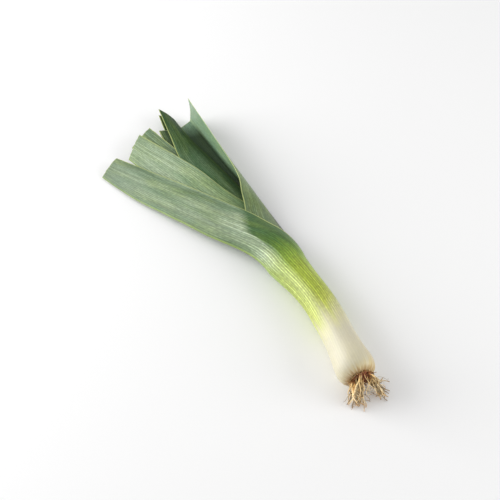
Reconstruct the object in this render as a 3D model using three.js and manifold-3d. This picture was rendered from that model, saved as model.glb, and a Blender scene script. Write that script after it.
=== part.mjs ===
// A trimmed leek lying on its side: a white-to-green shank of rolled leaf sheaths, the folded
// strap leaves that fan out of its throat in two ranks, and the tuft of roots on its root plate.
//
// Millimetres. The origin is the middle of the small flat that the bulb rests on, +Z is up, and
// +X runs along the shank from the leaves to the roots. Left and right are those of someone who
// looks from the roots to the leaf tips, so left is -Y and right is +Y.
import * as THREE from 'three';
import { mergeVertices } from 'three/addons/utils/BufferGeometryUtils.js';
import Module from 'manifold-3d';

const wasm = await Module();
wasm.setup();

// ---- Driving dimensions ----

// The shank's sections, from the root plate to the throat: centre x, y, z, half width and half height.
const SHANK = [
  [16.2, -0.9, 17.0, 11.3, 11.2],
  [14.9, -0.9, 17.4, 14.2, 14.0],
  [12.4, -0.9, 17.8, 16.6, 16.4],
  [8.6, -0.9, 18.3, 18.0, 17.8],
  [4.3, -0.9, 18.6, 18.5, 18.6],
  [0.0, -0.8, 18.6, 18.2, 18.9],
  [-7.0, -0.6, 18.4, 17.3, 18.2],
  [-16.0, 0.2, 18.0, 16.3, 17.0],
  [-34.0, 1.4, 17.4, 15.2, 15.7],
  [-55.0, 1.8, 17.0, 15.5, 15.5],
  [-75.0, 1.6, 16.7, 15.5, 15.4],
  [-95.0, -0.8, 16.3, 16.0, 15.2],
  [-112.0, -4.0, 15.9, 17.6, 15.0],
  [-128.3, -7.2, 15.6, 19.8, 14.8],
];
// The rest of the tight roll, hidden inside the throat. It steps down by one sheath at each
// leaf's collar.
const HEART = [
  [-128.3, -7.2, 15.6, 17.0, 12.0],
  [-135.6, -8.7, 15.5, 16.4, 11.4],
  [-135.6, -8.7, 15.5, 15.2, 10.2],
  [-142.6, -10.0, 15.3, 14.7, 9.7],
  [-142.6, -10.0, 15.3, 13.6, 8.6],
  [-149.6, -11.4, 15.2, 13.1, 6.9],
  [-149.6, -11.4, 15.4, 11.2, 5.7],
  [-156.6, -12.8, 15.2, 10.8, 4.3],
  [-156.6, -12.8, 15.2, 9.2, 3.3],
  [-163.6, -14.1, 15.0, 8.6, 2.4],
];
const SHANK_SIDES = 32;

const PLATE_CENTRE = [16.6, -0.9, 17.0]; // where the root plate meets the bulb
const PLATE_RADIUS = 11;
const PLATE_DEPTH = 3.2;
const ROOTS = 36;
const SUNK = 1.4; // how far inside the plate each root begins
const ROOT_RADIUS = 0.6;
const ROOT_LENGTH = [15, 27]; // the shortest and the longest
const ROOT_SIDES = 5;
const ROOT_RINGS = 5;

// Each leaf is folded along its midrib into an upper and a lower half, and is given by its outer
// face. One row describes a section at one x: the midrib's y and z, the upper margin's y and z,
// the lower margin's y and z, how far the upper and the lower half bulge outwards, and how round
// the section is, from 1 at the closed collar to 0 on the open blade.
// side is 1 where the midrib is on the left of the leek, and -1 where it is on the right.
// thickness is the blade's own. cut is how far short of the last section the trimmed end stops
// at the midrib, at the upper margin and at the lower margin.
const LEAVES = {
  leaf_1: {
    side: 1,
    thickness: 0.9,
    cut: [18, 4, 10],
    sections: [
      [-129.1, -26.1, 15.6, 11.7, 15.9, 11.7, 15.3, 13.9, 13.9, 1],
      [-137, -28.2, 15.2, 12.6, 17, 12, 14.2, 13.8, 13, 1],
      [-150, -32, 14.1, 11, 20, 8, 7.3, 12.4, 9.2, 0.6],
      [-165, -39.5, 12.6, 5, 23.5, 2, 5, 10.6, 6.4, 0.2],
      [-180, -49, 11, -5, 25.5, -7, 2.4, 8.6, 4.2, 0],
      [-200, -63, 9.2, -18, 26, -19, 1.9, 6.4, 3, 0],
      [-225, -78, 7.4, -36, 24.5, -37, 2.6, 4.8, 2.4, 0],
      [-250, -93.5, 5.6, -52, 21.5, -53, 2.4, 3.8, 2, 0],
      [-285, -114, 2.7, -75, 16.6, -76, 1.4, 3, 1.3, 0],
      [-343, -141, 0.9, -114, 8.4, -114, 0.5, 2.2, 0.6, 0],
    ],
  },
  leaf_2: {
    side: -1,
    thickness: 0.9,
    cut: [3, 0, 16],
    sections: [
      [-136.4, 8.3, 15.5, -25.5, 15.8, -25.5, 15.2, 12, 11.6, 1],
      [-145, 9.2, 14.8, -27, 17.5, -26.95, 12.6, 11, 10.1, 0.8],
      [-158, 10, 13.4, -28, 21, -27.5, 10, 9.2, 8, 0.3],
      [-172, 9.5, 11.8, -27.5, 22.8, -28, 7.6, 8.4, 5.5, 0.1],
      [-187, 8.6, 9.8, -25, 23.3, -28, 6.2, 7, 4, 0],
      [-200, 8, 8, -21.5, 23.5, -28, 5.6, 6, 3.8, 0],
      [-212, 7.2, 6.6, -18, 26.3, -27.5, 5.2, 5.5, 3.4, 0],
      [-225, 5.6, 5, -15.5, 29.5, -27, 4.9, 4.8, 3, 0],
      [-245, 1.6, 3.2, -10.5, 31, -29, 4.4, 3.8, 2.4, 0],
      [-280, -4.5, 1.7, -10.5, 31.5, -34, 3.9, 2.6, 2, 0],
      [-372, -17, 0.3, -16.5, 32.3, -46.5, 5, 2, 1.6, 0],
    ],
  },
  leaf_3: {
    side: 1,
    thickness: 0.9,
    cut: [24, 0, 10],
    sections: [
      [-143.4, -25.3, 15.4, 5, 15.7, 5, 15.1, 10.1, 10.1, 1],
      [-152, -27.2, 15, 4.6, 17, 4.4, 13, 8.8, 7.6, 0.8],
      [-165, -32, 14.2, 1, 18.5, 1.5, 11.5, 7.2, 5.8, 0.4],
      [-180, -40.5, 13.2, -4, 19.5, -2, 9.4, 5.8, 4, 0.1],
      [-205, -52.5, 12, -9, 20.5, -10, 7.2, 4.8, 2.4, 0],
      [-240, -67, 10.4, -26, 21, -24, 6.8, 3.6, 1.8, 0],
      [-285, -83, 9, -43, 19.6, -42, 6.4, 2.6, 1.4, 0],
      [-357, -108.5, 7, -79, 15.2, -80, 5.2, 2, 1, 0],
    ],
  },
  leaf_4: {
    side: -1,
    thickness: 0.9,
    cut: [15, 0, 5],
    sections: [
      [-150.4, 1.7, 15.3, -24.4, 15.7, -24.4, 14.9, 7.5, 7, 1],
      [-160, 1.2, 14.9, -25.6, 17, -25.6, 13.3, 5.4, 5.4, 0.7],
      [-175, 1, 13.9, -28, 17.8, -28.5, 12.2, 5, 4.2, 0.3],
      [-205, 0.5, 11.4, -34, 18.4, -34, 10.6, 4, 2.2, 0],
      [-246, -6.5, 9, -41, 17.8, -39, 9.4, 3.4, 1.2, 0],
      [-300, -19, 7.9, -52, 16.7, -50, 7.9, 2.2, 0.9, 0],
      [-340, -28.5, 7, -50, 17, -51, 8.6, 2.2, 0.8, 0],
      [-388, -35.5, 6.2, -46, 13.4, -47.5, 9, 1.6, 0.6, 0],
    ],
  },
  leaf_5: {
    side: 1,
    thickness: 0.8,
    cut: [18, 0, 4],
    sections: [
      [-157.4, -24.2, 15.2, -2.2, 15.8, -2.2, 14.6, 4.4, 4.5, 1],
      [-167, -26, 14.8, -3.5, 16.2, -3.5, 13.4, 3.9, 3.5, 0.7],
      [-182, -31, 14.4, -6.5, 16.6, -6.5, 12.8, 3.4, 2.6, 0.3],
      [-205, -40, 13.6, -11, 15.6, -11, 12, 3.2, 1.8, 0],
      [-245, -56, 12.6, -24, 15, -24, 11.6, 2.4, 1.2, 0],
      [-316, -82, 10.8, -48.5, 14.6, -47, 10, 1.4, 0.7, 0],
      [-364, -97, 9.2, -65, 13.6, -62, 9.4, 1.4, 0.8, 0],
    ],
  },
  leaf_6: {
    side: -1,
    thickness: 0.65,
    cut: [6, 0, 3],
    sections: [
      [-164.4, -4.9, 15.1, -22.6, 15.7, -22.6, 14.5, 2.3, 2.4, 1],
      [-175, -6, 14.8, -24, 15.5, -24, 13.8, 1.8, 1.6, 0.6],
      [-195, -10.5, 14, -28, 15.1, -28, 13.2, 1.4, 1.4, 0.2],
      [-240, -27, 13.4, -44, 14.2, -44, 12.7, 0.9, 0.8, 0],
      [-300, -34, 12.5, -56, 13.3, -56, 11.8, 0.8, 0.6, 0],
      [-357, -40, 11.5, -57, 12.3, -57, 10.8, 0.7, 0.6, 0],
    ],
  },
};
const ALONG = 14; // sections meshed along a leaf
const CROWDING = 1.35; // above 1, the sections are closer together at the collar
const ACROSS = 8; // strips in each half of a leaf

// ---- Helpers ----

function toGeometry(points, triangles) {
  const geometry = new THREE.BufferGeometry();
  const numbers = points.flatMap((p) => [p.x, p.y, p.z]);
  geometry.setAttribute('position', new THREE.Float32BufferAttribute(numbers, 3));
  geometry.setIndex(triangles.flat());
  return geometry;
}

function toSolid(geometry) {
  const bare = geometry.clone();
  bare.deleteAttribute('normal');
  bare.deleteAttribute('uv');
  const merged = mergeVertices(bare, 1e-4);
  const mesh = new wasm.Mesh({
    numProp: 3,
    vertProperties: new Float32Array(merged.attributes.position.array),
    triVerts: new Uint32Array(merged.index.array),
  });
  return new wasm.Manifold(mesh);
}

function fromSolid(solid) {
  const mesh = solid.getMesh();
  const geometry = new THREE.BufferGeometry();
  geometry.setAttribute('position', new THREE.BufferAttribute(new Float32Array(mesh.vertProperties), 3));
  geometry.setIndex(new THREE.BufferAttribute(new Uint32Array(mesh.triVerts), 1));
  return geometry;
}

// Rings of points, each one a closed section, joined into one solid with flat ends.
function loft(rings) {
  const sides = rings[0].length;
  const points = rings.flat();
  const triangles = [];
  for (let i = 0; i + 1 < rings.length; i += 1) {
    for (let j = 0; j < sides; j += 1) {
      const a = i * sides + j;
      const b = i * sides + ((j + 1) % sides);
      triangles.push([a, b + sides, b], [a, a + sides, b + sides]);
    }
  }
  const last = (rings.length - 1) * sides;
  for (let j = 1; j + 1 < sides; j += 1) {
    triangles.push([0, j, j + 1], [last, last + j + 1, last + j]);
  }
  return toGeometry(points, triangles);
}

// ---- The shank ----

function ring([x, y, z, halfWidth, halfHeight]) {
  return Array.from({ length: SHANK_SIDES }, (_, j) => {
    const turn = (2 * Math.PI * j) / SHANK_SIDES;
    return new THREE.Vector3(x, y + halfWidth * Math.cos(turn), z + halfHeight * Math.sin(turn));
  });
}

// The bulb is pressed flat where it rests.
function restingFlat(geometry) {
  const below = new THREE.BoxGeometry(60, 60, 10).translate(0, 0, -5);
  return fromSolid(toSolid(geometry).subtract(toSolid(below)));
}

// ---- The root tuft ----

// Repeatable random numbers from 0 to 1.
function randomSource(seed) {
  let state = seed;
  return () => {
    state = (state * 1664525 + 1013904223) % 4294967296;
    return state / 4294967296;
  };
}

function plate() {
  const [x, y, z] = PLATE_CENTRE;
  const profile = [[0.62, 1], [0.86, 0.72], [1, 0.3], [0.97, 0]]; // shares of its radius and depth
  const rings = profile.map(([radius, depth]) => {
    const size = radius * PLATE_RADIUS;
    return ring([x + depth * PLATE_DEPTH, y, z, size, size]);
  });
  return loft(rings);
}

function rootPath(i, random) {
  const turn = i * 2.39996; // the golden angle spreads the roots evenly over the plate
  const out = Math.sqrt((i + 0.5) / ROOTS);
  const length = THREE.MathUtils.lerp(...ROOT_LENGTH, random());
  const [x, y, z] = PLATE_CENTRE;
  const foot = 0.8 * out * PLATE_RADIUS;
  const start = new THREE.Vector3(x + SUNK, y + foot * Math.cos(turn), z + foot * Math.sin(turn));
  const sideways = 0.86 * out * Math.cos(turn) + 0.4 * (random() - 0.5);
  const upwards = 0.35 * out * Math.sin(turn) + 0.25 * (random() - 0.5);
  const forwards = Math.sqrt(Math.max(0.2, 1 - sideways ** 2));
  const droop = THREE.MathUtils.lerp(0.5, 1.1, random());
  return Array.from({ length: ROOT_RINGS }, (_, k) => {
    const t = k / (ROOT_RINGS - 1);
    const height = start.z + length * (upwards * t - droop * t * t * 0.75);
    const lowest = ROOT_RADIUS + 0.15 + 1.2 * random() * t;
    return new THREE.Vector3(
      start.x + length * forwards * t * (1 - 0.15 * t),
      start.y + length * sideways * t,
      Math.max(height, lowest),
    );
  });
}

function root(i, random) {
  const path = new THREE.CatmullRomCurve3(rootPath(i, random), false, 'catmullrom', 0.5);
  const frames = path.computeFrenetFrames(ROOT_RINGS - 1, false);
  const rings = frames.tangents.map((_, k) => {
    const t = k / (ROOT_RINGS - 1);
    const centre = path.getPointAt(t);
    const radius = ROOT_RADIUS * (1 - 0.45 * t);
    return Array.from({ length: ROOT_SIDES }, (_unused, j) => {
      const turn = (2 * Math.PI * j) / ROOT_SIDES;
      return centre
        .clone()
        .addScaledVector(frames.normals[k], radius * Math.cos(turn))
        .addScaledVector(frames.binormals[k], -radius * Math.sin(turn));
    });
  });
  return loft(rings);
}

function rootTuft() {
  const random = randomSource(7);
  let tuft = toSolid(plate());
  for (let i = 0; i < ROOTS; i += 1) {
    tuft = tuft.add(toSolid(root(i, random)));
  }
  return fromSolid(tuft);
}

// ---- The leaves ----

// Reads a table of sections at any x, along a smooth curve through each of its columns.
function readTable(table, x) {
  const last = table.length - 2;
  let i = 0;
  while (i < last && x < table[i + 1][0]) {
    i += 1;
  }
  const row = (k) => table[THREE.MathUtils.clamp(k, 0, table.length - 1)];
  const slope = (k, column) => (row(k + 1)[column] - row(k - 1)[column]) / (row(k + 1)[0] - row(k - 1)[0]);
  const step = row(i + 1)[0] - row(i)[0];
  const t = (x - row(i)[0]) / step;
  return row(i).map((start, column) => {
    const end = row(i + 1)[column];
    const leave = slope(i, column) * step;
    const arrive = slope(i + 1, column) * step;
    const a = 2 * t ** 3 - 3 * t ** 2 + 1;
    const b = t ** 3 - 2 * t ** 2 + t;
    const c = t ** 3 - t ** 2;
    return a * start + b * leave + (1 - a) * end + c * arrive;
  });
}

// The outer face of a leaf as rows of points, from the lower margin round the midrib to the
// upper margin. Each half is its chord from the midrib to the margin, raised by its bulge.
function leafSheet({ side, cut, sections }) {
  const start = sections[0][0];
  const end = sections.at(-1)[0];
  const rows = [];
  for (let i = 0; i < ALONG; i += 1) {
    const row = [];
    for (let j = -ACROSS; j <= ACROSS; j += 1) {
      const share = Math.abs(j) / ACROSS;
      const shorter = THREE.MathUtils.lerp(cut[0], j > 0 ? cut[1] : cut[2], share);
      const t = (i / (ALONG - 1)) ** CROWDING;
      const x = THREE.MathUtils.lerp(start, end, t) + shorter * t ** 4;
      const section = readTable(sections, x);
      const [, y, z, upperY, upperZ, lowerY, lowerZ, upperBulge, lowerBulge, roundness] = section;
      const dy = (j > 0 ? upperY : lowerY) - y;
      const dz = (j > 0 ? upperZ : lowerZ) - z;
      const chord = Math.hypot(dy, dz);
      const turn = Math.PI * share;
      const reach = THREE.MathUtils.lerp(share, (1 - Math.cos(turn)) / 2, roundness);
      const rise = THREE.MathUtils.lerp(4 * share * (1 - share), Math.sin(turn), roundness);
      const out = (side * (j > 0 ? upperBulge : -lowerBulge) * rise) / chord;
      row.push(new THREE.Vector3(x, y + dy * reach - dz * out, z + dz * reach + dy * out));
    }
    rows.push(row);
  }
  return rows;
}

// How deep the inner face lies under the outer one at point j of a section. Towards the keel the
// two halves close up, so there the inner faces stop just short of each other, and the fold is
// solid along its midrib.
function wallDepth(row, j, thickness) {
  const last = row.length - 1;
  const keel = last / 2;
  if (j !== keel) {
    const nearKeel = Math.abs(j - keel) <= keel / 2;
    return nearKeel ? Math.min(thickness, 0.4 * row[j].distanceTo(row[last - j])) : thickness;
  }
  const depth = row[keel - 1].clone().lerp(row[keel + 1], 0.5).distanceTo(row[keel]);
  const halfGap = row[keel - 1].distanceTo(row[keel + 1]) / 2;
  return Math.min((thickness * Math.hypot(depth, halfGap)) / halfGap, Math.max(thickness, 0.65 * depth));
}

// The outer face of a leaf thickened inwards into one closed solid.
function thicken(rows, thickness, side) {
  const n = rows.length;
  const m = rows[0].length;
  const outer = rows.flat();
  const inner = [];
  for (let i = 0; i < n; i += 1) {
    for (let j = 0; j < m; j += 1) {
      const along = rows[Math.min(i + 1, n - 1)][j].clone().sub(rows[Math.max(i - 1, 0)][j]);
      const across = rows[i][Math.min(j + 1, m - 1)].clone().sub(rows[i][Math.max(j - 1, 0)]);
      const inwards = along.cross(across).normalize().multiplyScalar(side);
      inner.push(rows[i][j].clone().addScaledVector(inwards, wallDepth(rows[i], j, thickness)));
    }
  }
  const triangles = [];
  const quad = (a, b, c, d) => {
    triangles.push(side > 0 ? [a, b, c] : [a, c, b], side > 0 ? [a, c, d] : [a, d, c]);
  };
  const o = n * m;
  for (let i = 0; i + 1 < n; i += 1) {
    for (let j = 0; j + 1 < m; j += 1) {
      const a = i * m + j;
      quad(a, a + 1, a + m + 1, a + m);
      quad(o + a, o + a + m, o + a + m + 1, o + a + 1);
    }
    const low = i * m;
    const high = i * m + m - 1;
    quad(low, low + m, o + low + m, o + low);
    quad(high, o + high, o + high + m, high + m);
  }
  for (let j = 0; j + 1 < m; j += 1) {
    const base = j;
    const tip = (n - 1) * m + j;
    quad(base, o + base, o + base + 1, base + 1);
    quad(tip, tip + 1, o + tip + 1, o + tip);
  }
  return toGeometry([...outer, ...inner], triangles);
}

// ---- The assembly ----

const leek = new THREE.Group();

function add(name, geometry, colour, roughness) {
  const material = new THREE.MeshStandardMaterial({ color: colour, roughness, metalness: 0 });
  const mesh = new THREE.Mesh(geometry, material);
  mesh.name = name;
  leek.add(mesh);
}

add('shank', restingFlat(loft([...SHANK, ...HEART].map(ring))), 0xdfe3b4, 0.4);
add('root_tuft', rootTuft(), 0xc9a667, 0.8);
for (const [name, leaf] of Object.entries(LEAVES)) {
  add(name, thicken(leafSheet(leaf), leaf.thickness, leaf.side), 0x7f9f7a, 0.5);
}

export default leek;
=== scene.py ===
# %% [markdown]
# # A trimmed leek
#
# A leek is a roll of leaves. Their sheaths make the white shank, and their blades fold along the
# midrib and fan out of the throat in two ranks. The root plate holds a tuft of stringy roots.
#
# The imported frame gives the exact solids. They are coarse, so finer pieces with the finish of a
# fresh leek lie where they lie.

# %% Load the frame
import math
import random
from functools import partial

import bpy
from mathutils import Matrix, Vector, noise


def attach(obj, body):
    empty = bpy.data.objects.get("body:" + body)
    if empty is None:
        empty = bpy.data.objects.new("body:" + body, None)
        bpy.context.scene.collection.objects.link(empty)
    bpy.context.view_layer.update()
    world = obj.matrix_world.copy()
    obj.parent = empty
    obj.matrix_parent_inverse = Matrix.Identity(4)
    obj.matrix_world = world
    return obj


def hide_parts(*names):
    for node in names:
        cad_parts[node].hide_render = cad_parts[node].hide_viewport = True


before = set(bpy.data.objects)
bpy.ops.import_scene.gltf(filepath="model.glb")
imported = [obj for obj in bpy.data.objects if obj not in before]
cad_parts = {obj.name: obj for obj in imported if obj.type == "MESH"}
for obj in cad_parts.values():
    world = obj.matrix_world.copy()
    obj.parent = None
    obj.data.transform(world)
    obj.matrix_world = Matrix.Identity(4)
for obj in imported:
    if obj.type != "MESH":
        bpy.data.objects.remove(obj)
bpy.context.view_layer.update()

MM = 0.001  # the frame is in metres, and a leek is easier to think about in millimetres
print("nodes:", ", ".join(sorted(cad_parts)))

# %% [markdown]
# ## The camera
#
# The leek lies across the picture from its leaf tips, far left, to its roots, near right. A short
# telephoto lens looks down on it at fifty degrees, so both ends keep about the same scale. The
# camera could be placed by its own coordinates, but what it looks at and from which direction is
# easier to picture.

# %% Camera
LOOK_AT = Vector((-0.1739, -0.0280, 0.0))
DISTANCE = 1.18
ELEVATION = math.radians(50)
BEARING = math.radians(157)  # the compass direction of the view, counted from +X towards +Y
LENS = 85  # millimetres
SENSOR = 36  # millimetres

view = Vector((
    math.cos(BEARING) * math.cos(ELEVATION),
    math.sin(BEARING) * math.cos(ELEVATION),
    -math.sin(ELEVATION),
))
camera_data = bpy.data.cameras.new("camera")
camera_data.lens = LENS
camera_data.sensor_width = SENSOR
camera = bpy.data.objects.new("camera", camera_data)
camera.location = LOOK_AT - DISTANCE * view
camera.rotation_euler = (-view).to_track_quat("Z", "Y").to_euler()
bpy.context.scene.collection.objects.link(camera)
bpy.context.scene.camera = camera
print("camera at", [round(v, 3) for v in camera.location])

# %% [markdown]
# ## Colours and nodes
#
# Colours are picked as sRGB hex values, and shaders work in linear light, so one function turns one
# into the other. A second one adds any node with its settings and links, so recipes stay short.

# %% Helpers for materials
def linear(hex_colour):
    """An sRGB colour such as #8FA987 as linear red, green, blue and a full alpha."""
    parts = [int(hex_colour[i:i + 2], 16) / 255 for i in (1, 3, 5)]
    return [p / 12.92 if p <= 0.04045 else ((p + 0.055) / 1.055) ** 2.4 for p in parts] + [1.0]


def add_node(tree, kind, links=(), stops=(), **settings):
    """Adds a node. kind is its type without the leading ShaderNode. links gives its inputs, in
    their order or by name: a plain value, an output, or a node that stands for its first output."""
    made = tree.nodes.new("ShaderNode" + kind)
    for key, value in settings.items():
        setattr(made, key, value)
    in_use = [socket for socket in made.inputs if socket.enabled]
    for key, value in (links.items() if isinstance(links, dict) else enumerate(links)):
        socket = made.inputs[key] if isinstance(key, str) else in_use[key]
        if isinstance(value, bpy.types.Node):
            value = next(output for output in value.outputs if output.enabled)
        if isinstance(value, bpy.types.NodeSocket):
            tree.links.new(value, socket)
        else:
            socket.default_value = value
    for number, (position, colour) in enumerate(stops):
        if number > 1:
            made.color_ramp.elements.new(position)
        made.color_ramp.elements[number].position = position
        made.color_ramp.elements[number].color = linear(colour)
    return made


def new_material(name):
    """A material without nodes, and the function that adds one to it."""
    material = bpy.data.materials.new(name)
    material.use_nodes = True
    material.node_tree.nodes.clear()
    return material, partial(add_node, material.node_tree)


print("a mid grey is", round(linear("#808080")[0], 3), "in linear light")

# %% [markdown]
# ## The floor
#
# The leek lies on matt painted board. Rolled paint dries with a fine tooth and hardly any gleam.
# One plain white would do from far off, but noise between two close whites looks less empty.

# %% Floor
FLOOR_SIZE = 6.0
# Real tooth is too fine to show. A pixel covers a millimetre, so it is drawn about that wide.
TEETH_PER_MM = 0.9

painted_board, add = new_material("painted_board")
place = add("TexCoord").outputs["Object"]
tooth = add("TexNoise", {"Vector": place, "Scale": TEETH_PER_MM / MM})
shade = add("ValToRGB", [tooth], stops=[(0.0, "#F6F6F6"), (1.0, "#FAFAFA")])
paint = add("BsdfPrincipled", {"Base Color": shade, "Roughness": 0.9})
add("OutputMaterial", {"Surface": paint})

bpy.ops.mesh.primitive_plane_add(size=FLOOR_SIZE)
floor = bpy.context.object
floor.name = "floor"
floor.data.materials.append(painted_board)
print("floor", FLOOR_SIZE, "m wide,", painted_board.name)

# %% [markdown]
# ## The light
#
# Small lamps would leave hard spots on the glossy skin, so the leek lies in a light tent. The
# tent's walls are brighter than its top, so the flanks of the shank are brighter than its crest. A
# soft box low behind the leek on the left draws the long gleam on the shank and throws a soft
# shadow to the near right. A weaker one fills in from the right.

# %% Light
BOX_DISTANCE = 1.5
# Each soft box: the direction from the leek to it, its width and height, and its watts.
SOFT_BOXES = {
    "soft_box": (Vector((-0.57, -0.74, 0.38)), (1.3, 1.05), 24),
    "fill": (Vector((0.5, 0.78, 0.32)), (1.1, 1.1), 10),
}
TENT = [(0.15, "#E2E2E2"), (0.85, "#CCCCCC")]  # its walls and its top, by how steep the look up is
TENT_STRENGTH = 0.88

for name, (direction, size, watts) in SOFT_BOXES.items():
    data = bpy.data.lights.new(name, "AREA")
    data.shape = "RECTANGLE"
    data.size, data.size_y = size
    data.energy = watts
    lamp = bpy.data.objects.new(name, data)
    lamp.location = LOOK_AT + BOX_DISTANCE * direction.normalized()
    lamp.rotation_euler = direction.to_track_quat("Z", "Y").to_euler()
    bpy.context.scene.collection.objects.link(lamp)

tent = bpy.data.worlds.new("light_tent")
tent.use_nodes = True
tent.node_tree.nodes.clear()
add = partial(add_node, tent.node_tree)
outwards = add("TexCoord").outputs["Generated"]
steepness = add("SeparateXYZ", [outwards]).outputs["Z"]
cloth = add("ValToRGB", [steepness], stops=TENT)
glow = add("Background", [cloth, TENT_STRENGTH])
add("OutputWorld", {"Surface": glow})
bpy.context.scene.world = tent
bpy.context.scene.view_settings.view_transform = "Standard"
print("lights:", ", ".join(SOFT_BOXES), "and the tent")

# %% [markdown]
# ## How a leaf is described
#
# Sculpting six nested leaves by hand would make them cut through each other. Instead each leaf is
# a list of cross-sections, in millimetres, at a few places along the leek. A section is a fold:
# the midrib, an upper and a lower margin, how far each half bulges, and how round the fold is,
# from 1 where the sheath is a closed tube to 0 where the blade is open. The solids are built from
# the same sections, so the fine leaves lie where the solids lie. The shank is such a fold too.

# %% The sections, in millimetres
# The shank, from the root plate to the throat: centre x, y, z, half width and half height.
SHANK = [
    (16.2, -0.9, 17, 11.3, 11.2),
    (14.9, -0.9, 17.4, 14.2, 14),
    (12.4, -0.9, 17.8, 16.6, 16.4),
    (8.6, -0.9, 18.3, 18, 17.8),
    (4.3, -0.9, 18.6, 18.5, 18.6),
    (0, -0.8, 18.6, 18.2, 18.9),
    (-7, -0.6, 18.4, 17.3, 18.2),
    (-16, 0.2, 18, 16.3, 17),
    (-34, 1.4, 17.4, 15.2, 15.7),
    (-55, 1.8, 17, 15.5, 15.5),
    (-75, 1.6, 16.7, 15.5, 15.4),
    (-95, -0.8, 16.3, 16, 15.2),
    (-112, -4, 15.9, 17.6, 15),
    (-128.3, -7.2, 15.6, 19.8, 14.8),
]
# The leaves: x, midrib y and z, upper margin y and z, lower margin y and z, upper bulge, lower
# bulge, roundness. side is 1 for a midrib on the left. cut is how far the trimmed end stops short
# of the last section at the midrib, the upper margin and the lower margin.
LEAVES = {}
LEAVES["leaf_1"] = dict(side=1, thickness=0.9, cut=(18, 4, 10), sections=[
    (-129.1, -26.1, 15.6, 11.7, 15.9, 11.7, 15.3, 13.9, 13.9, 1),
    (-137, -28.2, 15.2, 12.6, 17, 12, 14.2, 13.8, 13, 1),
    (-150, -32, 14.1, 11, 20, 8, 7.3, 12.4, 9.2, 0.6),
    (-165, -39.5, 12.6, 5, 23.5, 2, 5, 10.6, 6.4, 0.2),
    (-180, -49, 11, -5, 25.5, -7, 2.4, 8.6, 4.2, 0),
    (-200, -63, 9.2, -18, 26, -19, 1.9, 6.4, 3, 0),
    (-225, -78, 7.4, -36, 24.5, -37, 2.6, 4.8, 2.4, 0),
    (-250, -93.5, 5.6, -52, 21.5, -53, 2.4, 3.8, 2, 0),
    (-285, -114, 2.7, -75, 16.6, -76, 1.4, 3, 1.3, 0),
    (-343, -141, 0.9, -114, 8.4, -114, 0.5, 2.2, 0.6, 0),
])
LEAVES["leaf_2"] = dict(side=-1, thickness=0.9, cut=(3, 0, 16), sections=[
    (-136.4, 8.3, 15.5, -25.5, 15.8, -25.5, 15.2, 12, 11.6, 1),
    (-145, 9.2, 14.8, -27, 17.5, -26.95, 12.6, 11, 10.1, 0.8),
    (-158, 10, 13.4, -28, 21, -27.5, 10, 9.2, 8, 0.3),
    (-172, 9.5, 11.8, -27.5, 22.8, -28, 7.6, 8.4, 5.5, 0.1),
    (-187, 8.6, 9.8, -25, 23.3, -28, 6.2, 7, 4, 0),
    (-200, 8, 8, -21.5, 23.5, -28, 5.6, 6, 3.8, 0),
    (-212, 7.2, 6.6, -18, 26.3, -27.5, 5.2, 5.5, 3.4, 0),
    (-225, 5.6, 5, -15.5, 29.5, -27, 4.9, 4.8, 3, 0),
    (-245, 1.6, 3.2, -10.5, 31, -29, 4.4, 3.8, 2.4, 0),
    (-280, -4.5, 1.7, -10.5, 31.5, -34, 3.9, 2.6, 2, 0),
    (-372, -17, 0.3, -16.5, 32.3, -46.5, 5, 2, 1.6, 0),
])
LEAVES["leaf_3"] = dict(side=1, thickness=0.9, cut=(24, 0, 10), sections=[
    (-143.4, -25.3, 15.4, 5, 15.7, 5, 15.1, 10.1, 10.1, 1),
    (-152, -27.2, 15, 4.6, 17, 4.4, 13, 8.8, 7.6, 0.8),
    (-165, -32, 14.2, 1, 18.5, 1.5, 11.5, 7.2, 5.8, 0.4),
    (-180, -40.5, 13.2, -4, 19.5, -2, 9.4, 5.8, 4, 0.1),
    (-205, -52.5, 12, -9, 20.5, -10, 7.2, 4.8, 2.4, 0),
    (-240, -67, 10.4, -26, 21, -24, 6.8, 3.6, 1.8, 0),
    (-285, -83, 9, -43, 19.6, -42, 6.4, 2.6, 1.4, 0),
    (-357, -108.5, 7, -79, 15.2, -80, 5.2, 2, 1, 0),
])
LEAVES["leaf_4"] = dict(side=-1, thickness=0.9, cut=(15, 0, 5), sections=[
    (-150.4, 1.7, 15.3, -24.4, 15.7, -24.4, 14.9, 7.5, 7, 1),
    (-160, 1.2, 14.9, -25.6, 17, -25.6, 13.3, 5.4, 5.4, 0.7),
    (-175, 1, 13.9, -28, 17.8, -28.5, 12.2, 5, 4.2, 0.3),
    (-205, 0.5, 11.4, -34, 18.4, -34, 10.6, 4, 2.2, 0),
    (-246, -6.5, 9, -41, 17.8, -39, 9.4, 3.4, 1.2, 0),
    (-300, -19, 7.9, -52, 16.7, -50, 7.9, 2.2, 0.9, 0),
    (-340, -28.5, 7, -50, 17, -51, 8.6, 2.2, 0.8, 0),
    (-388, -35.5, 6.2, -46, 13.4, -47.5, 9, 1.6, 0.6, 0),
])
LEAVES["leaf_5"] = dict(side=1, thickness=0.8, cut=(18, 0, 4), sections=[
    (-157.4, -24.2, 15.2, -2.2, 15.8, -2.2, 14.6, 4.4, 4.5, 1),
    (-167, -26, 14.8, -3.5, 16.2, -3.5, 13.4, 3.9, 3.5, 0.7),
    (-182, -31, 14.4, -6.5, 16.6, -6.5, 12.8, 3.4, 2.6, 0.3),
    (-205, -40, 13.6, -11, 15.6, -11, 12, 3.2, 1.8, 0),
    (-245, -56, 12.6, -24, 15, -24, 11.6, 2.4, 1.2, 0),
    (-316, -82, 10.8, -48.5, 14.6, -47, 10, 1.4, 0.7, 0),
    (-364, -97, 9.2, -65, 13.6, -62, 9.4, 1.4, 0.8, 0),
])
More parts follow.
